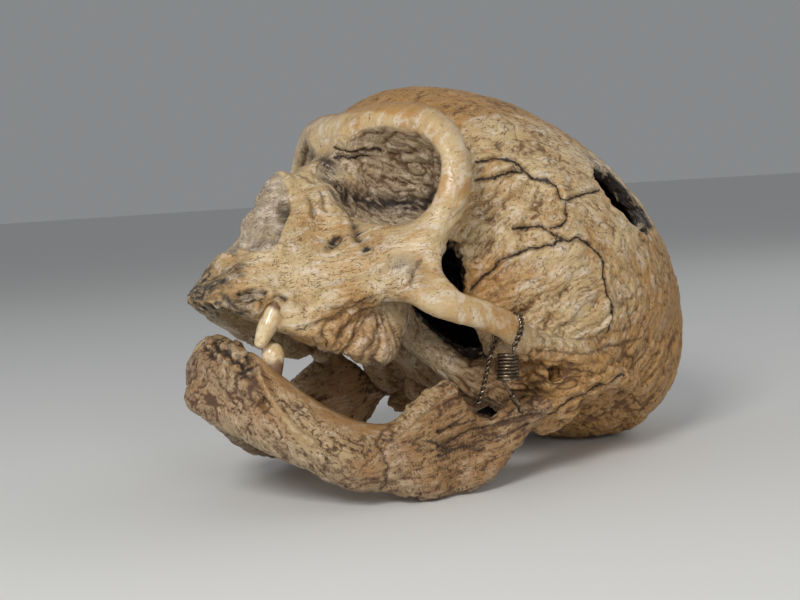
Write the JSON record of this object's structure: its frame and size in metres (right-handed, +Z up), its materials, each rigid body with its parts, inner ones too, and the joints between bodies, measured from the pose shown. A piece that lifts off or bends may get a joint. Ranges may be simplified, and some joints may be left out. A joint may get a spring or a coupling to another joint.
{
  "type": "fossil primate skull",
  "caption": "Long low fossil skull with heavy brows, its lower jaw hung below on springs, lying back on the occiput and the angles of the jaw.",
  "frame": {"origin": "middle of the footprint at table level", "axes": "+Z up, face towards -Y, the skull's left side at +X"},
  "size_m": [0.1604, 0.2502, 0.1691],
  "materials": {
    "cast": "fossil bone, ochre and brown, matt, striated and pitted",
    "jaw": "fossil bone, greyer brown, matt",
    "nose_filling": "pale grey-brown filling, matt",
    "tooth": "worn ivory enamel with a soft gloss",
    "spring": "dark tarnished wire"
  },
  "bodies": {
    "root": {"frontal": "cast", "parietal_left": "cast", "parietal_right": "cast", "occipital": "cast", "temporal_left": "cast", "temporal_right": "cast", "sphenoid": "cast", "zygomatic_left": "cast", "zygomatic_right": "cast", "maxilla": "cast", "nasal_bones": "cast", "mandible": "jaw", "nasal_filling": "nose_filling", "tooth_upper": "tooth", "tooth_lower": "tooth", "spring_rear_left": "spring", "spring_rear_right": "spring", "spring_front_left": "spring", "spring_front_right": "spring"}
  },
  "joints": []
}
